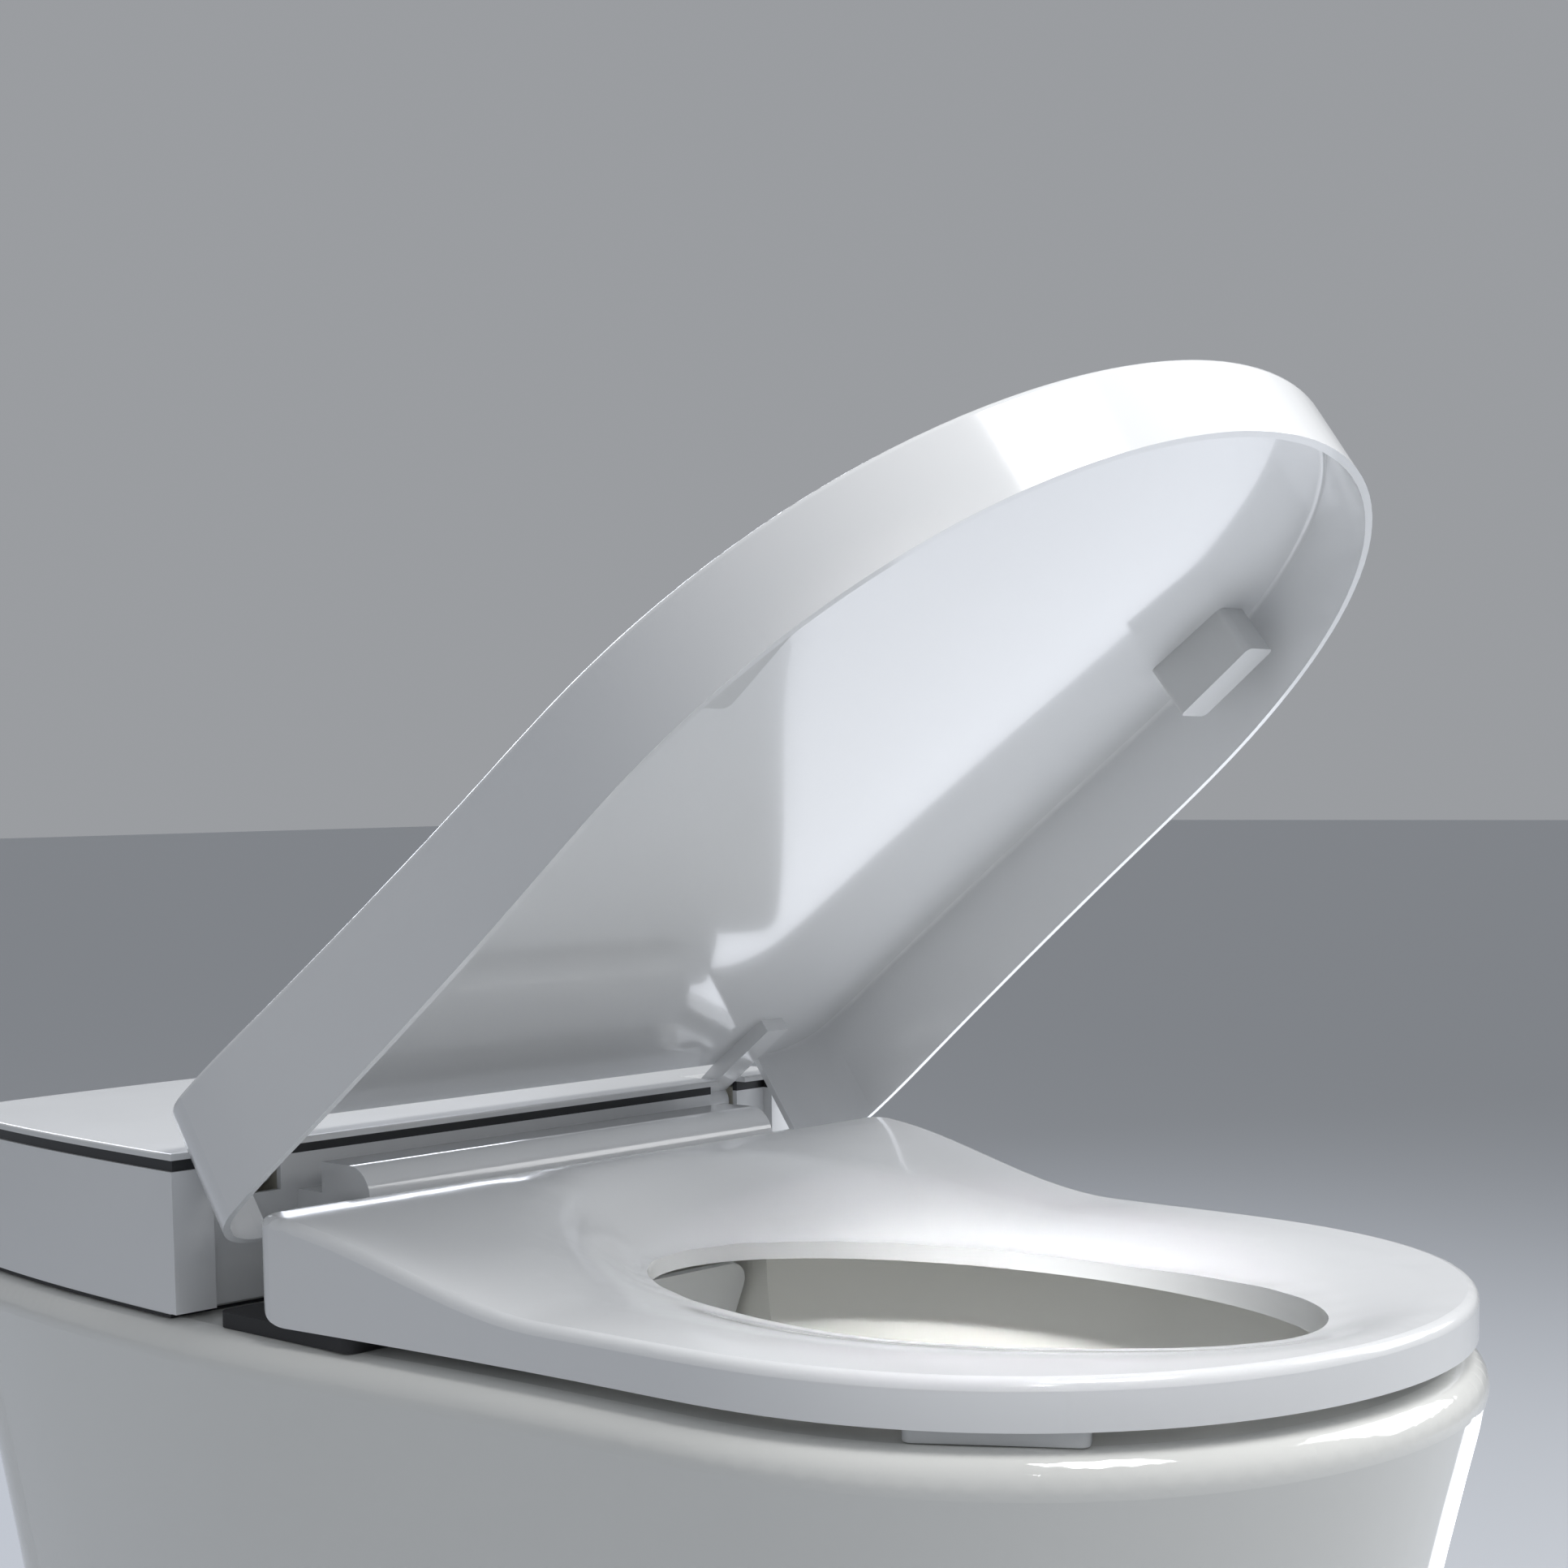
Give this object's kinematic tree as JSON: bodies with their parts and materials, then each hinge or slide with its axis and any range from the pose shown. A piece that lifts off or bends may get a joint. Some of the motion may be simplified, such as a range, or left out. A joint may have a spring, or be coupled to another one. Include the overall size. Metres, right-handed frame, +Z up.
{
  "type": "bidet toilet",
  "caption": "Floor-standing skirted toilet with a low rear housing, washing nozzles, heated seat ring and a deep-skirted lid.",
  "frame": {"origin": "on the floor, under the middle of the toilet's outline", "axes": "+Z up, -Y towards the front of the bowl, +X to the sitter's left"},
  "size_m": [0.4168, 0.735, 0.7827],
  "materials": {
    "glazed_ceramic": "glossy white glaze",
    "gloss_white_plastic": "polished white moulding",
    "cover_plastic": "polished warm white moulding",
    "dark_trim_plastic": "dark grey satin moulding",
    "chassis_plastic": "plain light grey moulding",
    "nozzle_plastic": "smooth white moulding",
    "button_plastic": "satin light grey",
    "nylon": "natural nylon",
    "tank_plastic": "grey moulding",
    "light_rubber": "pale grey moulded rubber",
    "dark_rubber": "dark grey moulded rubber",
    "gland_nylon": "black nylon",
    "hose_silicone": "translucent white silicone",
    "pipe_grey": "grey rigid plastic",
    "stainless_steel": "brushed",
    "motor_steel": "plated can",
    "brass": "machined",
    "circuit_board": "green solder mask",
    "heating_foil": "amber film"
  },
  "bodies": {
    "base": {"ceramic_bowl": "glazed_ceramic", "outlet_seal": "dark_rubber", "floor_brackets": "stainless_steel", "skirt_screws": "stainless_steel", "screw_caps": "button_plastic", "seat_rests": "dark_rubber", "deck_gasket": "dark_rubber", "base_plate": "chassis_plastic", "mounting_plate": "stainless_steel", "mounting_bolts": "stainless_steel", "mounting_bushes": "dark_rubber", "mounting_nuts": "nylon", "housing_shell": "gloss_white_plastic", "trim_band": "dark_trim_plastic", "top_cover": "cover_plastic", "hinge_bar": "gloss_white_plastic", "hinge_brackets": "nylon", "lid_pins": "stainless_steel", "lid_damper": "motor_steel", "lid_drive": "motor_steel", "seat_damper": "motor_steel", "seat_drive": "motor_steel", "nozzle_guide": "nozzle_plastic", "nozzle_guard": "nozzle_plastic", "rear_nozzle_motor": "motor_steel", "front_nozzle_motor": "motor_steel", "water_heater": "tank_plastic", "wash_pump": "motor_steel", "inlet_valve": "nylon", "inlet_fitting": "brass", "heater_feed_pipe": "hose_silicone", "pump_feed_pipe": "hose_silicone", "wash_pipe": "hose_silicone", "flush_valve": "nylon", "flush_pipe": "pipe_grey", "controller_board": "circuit_board", "power_supply": "chassis_plastic", "cable_gland": "gland_nylon", "fan_housing": "chassis_plastic", "fan_motor": "motor_steel", "dryer_duct": "chassis_plastic", "cartridge_case": "chassis_plastic", "button_carrier": "gland_nylon"},
    "lid": {"lid_shell": "gloss_white_plastic", "lid_arms": "gloss_white_plastic", "lid_buffers": "light_rubber"},
    "seat": {"seat_top_shell": "gloss_white_plastic", "seat_base": "gloss_white_plastic", "seat_heater": "heating_foil", "seat_buffers": "light_rubber", "seat_pins": "stainless_steel"},
    "rear_wash_nozzle": {"rear_nozzle": "nozzle_plastic"},
    "front_wash_nozzle": {"front_nozzle": "nozzle_plastic"},
    "rear_pinion_wheel": {"rear_pinion": "nylon"},
    "front_pinion_wheel": {"front_pinion": "nylon"},
    "impeller": {"fan_impeller": "chassis_plastic"},
    "cartridge": {"deodoriser_cartridge": "tank_plastic"},
    "power_key": {"power_button": "button_plastic"},
    "flush_key": {"flush_button": "button_plastic"}
  },
  "joints": [
    {"name": "lid_hinge", "type": "hinge", "parent": "base", "child": "lid", "pos_m": [0, 0.1395, 0.46], "axis": [-1, 0, 0], "range_deg": [-38.5, 56.5]},
    {"name": "seat_hinge", "type": "hinge", "parent": "base", "child": "seat", "pos_m": [0, 0.0885, 0.437], "axis": [-1, 0, 0], "range_deg": [0, 34]},
    {"name": "rear_nozzle_slide", "type": "slide", "parent": "base", "child": "rear_wash_nozzle", "axis": [0, -0.9272, -0.3746], "range_m": [0, 0.088]},
    {"name": "front_nozzle_slide", "type": "slide", "parent": "base", "child": "front_wash_nozzle", "axis": [0, -0.9272, -0.3746], "range_m": [0, 0.088]},
    {"name": "rear_pinion_spin", "type": "hinge", "parent": "base", "child": "rear_pinion_wheel", "pos_m": [-0.02835, 0.15405, 0.42145], "axis": [0, -0.3746, 0.9272], "range_deg": [-1, 721.29]},
    {"name": "front_pinion_spin", "type": "hinge", "parent": "base", "child": "front_pinion_wheel", "pos_m": [0.02835, 0.15405, 0.42145], "axis": [0, -0.3746, 0.9272], "range_deg": [-721.29, 1]},
    {"name": "fan_spin", "type": "hinge", "parent": "base", "child": "impeller", "pos_m": [0.088, 0.2105, 0.418], "axis": [0, 0, 1], "continuous": true},
    {"name": "cartridge_slide", "type": "slide", "parent": "base", "child": "cartridge", "axis": [1, 0, 0], "range_m": [0, 0.06]},
    {"name": "power_button_press", "type": "slide", "parent": "base", "child": "power_key", "axis": [-1, 0, 0], "range_m": [0, 0.0015], "stiffness_N_per_m": 600},
    {"name": "flush_button_press", "type": "slide", "parent": "base", "child": "flush_key", "axis": [-1, 0, 0], "range_m": [0, 0.0015], "stiffness_N_per_m": 600}
  ],
  "couplings": [
    {"joint": "rear_pinion_spin", "follows": "rear_nozzle_slide", "rad_per_m": 142.86},
    {"joint": "front_pinion_spin", "follows": "front_nozzle_slide", "rad_per_m": -142.86}
  ]
}
